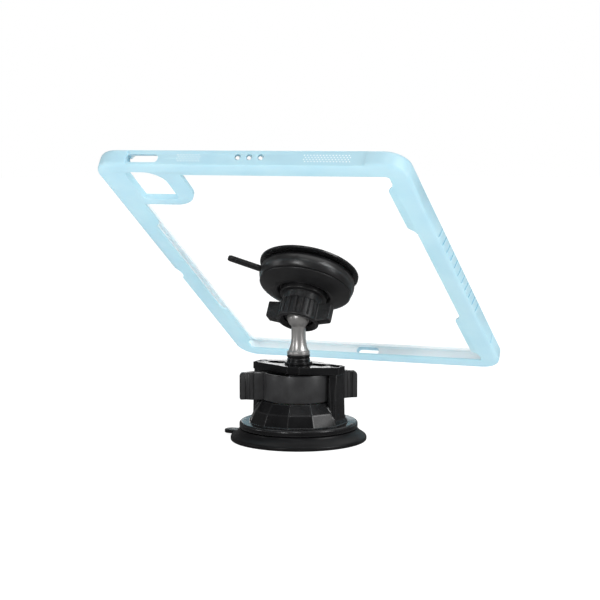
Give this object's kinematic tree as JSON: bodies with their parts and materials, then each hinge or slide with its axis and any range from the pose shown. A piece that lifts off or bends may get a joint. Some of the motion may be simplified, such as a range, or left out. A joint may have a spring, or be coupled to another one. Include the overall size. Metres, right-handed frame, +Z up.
{
  "type": "tablet suction mount with case",
  "caption": "Twist-lock suction base with a ball head whose suction pad carries a clear-backed soft tablet case in a sky-blue frame.",
  "frame": {"origin": "centre of the base cup's sealing ring, on the surface that the base is stuck to", "axes": "+Z up out of that surface, +X along the short edges of the case, +Y the way the tablet's screen leans"},
  "size_m": [0.1908, 0.2228, 0.1782],
  "materials": {
    "cup_rubber": "satin moulded rubber",
    "black_plastic": "satin moulded",
    "gloss_black": "polished moulded",
    "aluminium": "turned, satin",
    "steel": "zinc plated",
    "nylon": "natural, smooth",
    "blue_tpu": "soft satin",
    "clear_sheet": "clear, polished"
  },
  "bodies": {
    "base": {"base_suction_cup": "cup_rubber", "base_housing": "gloss_black", "drum_washer": "nylon", "top_plate": "gloss_black", "plate_screws": "steel", "stud_collar": "gloss_black", "ball_stud": "aluminium", "stud_washer": "steel", "stud_nut": "steel"},
    "drum": {"twist_drum": "black_plastic"},
    "puller": {"cup_pull_stud": "steel", "stud_cross_pin": "steel"},
    "liner": {"ball_liner": "nylon"},
    "collet": {"ball_collet": "black_plastic"},
    "head": {"head_bowl": "black_plastic", "head_core_plate": "black_plastic", "head_core_screws": "steel", "head_ring": "black_plastic", "head_suction_pad": "cup_rubber", "case_frame": "blue_tpu", "clear_panel": "clear_sheet"},
    "nut": {"clamp_nut": "black_plastic"}
  },
  "joints": [
    {"name": "twist_lock", "type": "hinge", "parent": "base", "child": "drum", "pos_m": [0, 0, 0.0336], "axis": [0, 0, 1], "range_deg": [0, 90]},
    {"name": "cup_lift", "type": "slide", "parent": "base", "child": "puller", "axis": [0, 0, 1], "range_m": [0, 0.003], "deforming": ["base_suction_cup"]},
    {"name": "head_pitch", "type": "hinge", "parent": "base", "child": "liner", "pos_m": [0, 0, 0.0755], "axis": [1, 0, 0], "range_deg": [-3, 68]},
    {"name": "head_roll", "type": "hinge", "parent": "liner", "child": "collet", "pos_m": [0, 0, 0.0755], "axis": [0, -0.8425, 0.5388], "range_deg": [-10, 10]},
    {"name": "head_spin", "type": "hinge", "parent": "collet", "child": "head", "pos_m": [0, 0, 0.0755], "axis": [0, 0.5388, 0.8425], "continuous": true},
    {"name": "nut_turn", "type": "hinge", "parent": "head", "child": "nut", "pos_m": [0, 0, 0.0755], "axis": [0, 0.5388, 0.8425], "range_deg": [-180, 0]}
  ],
  "couplings": [
    {"joint": "twist_lock", "follows": "cup_lift", "rad_per_m": 523.6}
  ]
}
